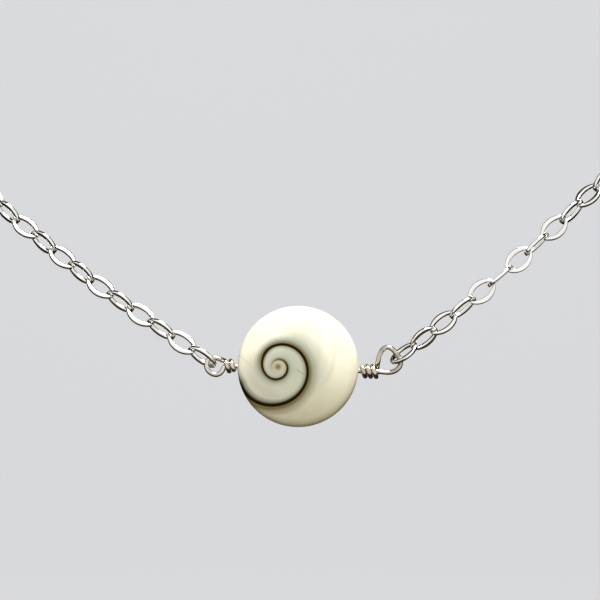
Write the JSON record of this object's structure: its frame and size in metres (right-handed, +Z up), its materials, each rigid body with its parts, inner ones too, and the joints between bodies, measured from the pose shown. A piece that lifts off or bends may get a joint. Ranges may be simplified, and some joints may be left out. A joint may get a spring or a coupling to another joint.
{
  "type": "shiva shell necklace",
  "caption": "Fine silver cable chain worn round the neck, with a round polished shell bead that turns on a looped wire at the front and a plain ring clasp behind.",
  "frame": {"origin": "the nape: the middle of the necklace's run behind the neck, where the wearer's neck carries it", "axes": "+X to the wearer's left, +Y from the front of the neck to the back, +Z up"},
  "size_m": [0.1142, 0.1167, 0.0889],
  "materials": {
    "shell": "polished",
    "silver": "polished"
  },
  "bodies": {
    "necklace": {"bead_wire": "silver", "chain_right": "silver", "chain_left": "silver", "clasp": "silver", "end_ring": "silver"},
    "bead": {"shell_bead": "shell"}
  },
  "joints": [
    {"name": "bead_turn", "type": "hinge", "parent": "necklace", "child": "bead", "pos_m": [0, -0.113, -0.0802], "axis": [0.9993, 0, -0.0377], "continuous": true}
  ]
}
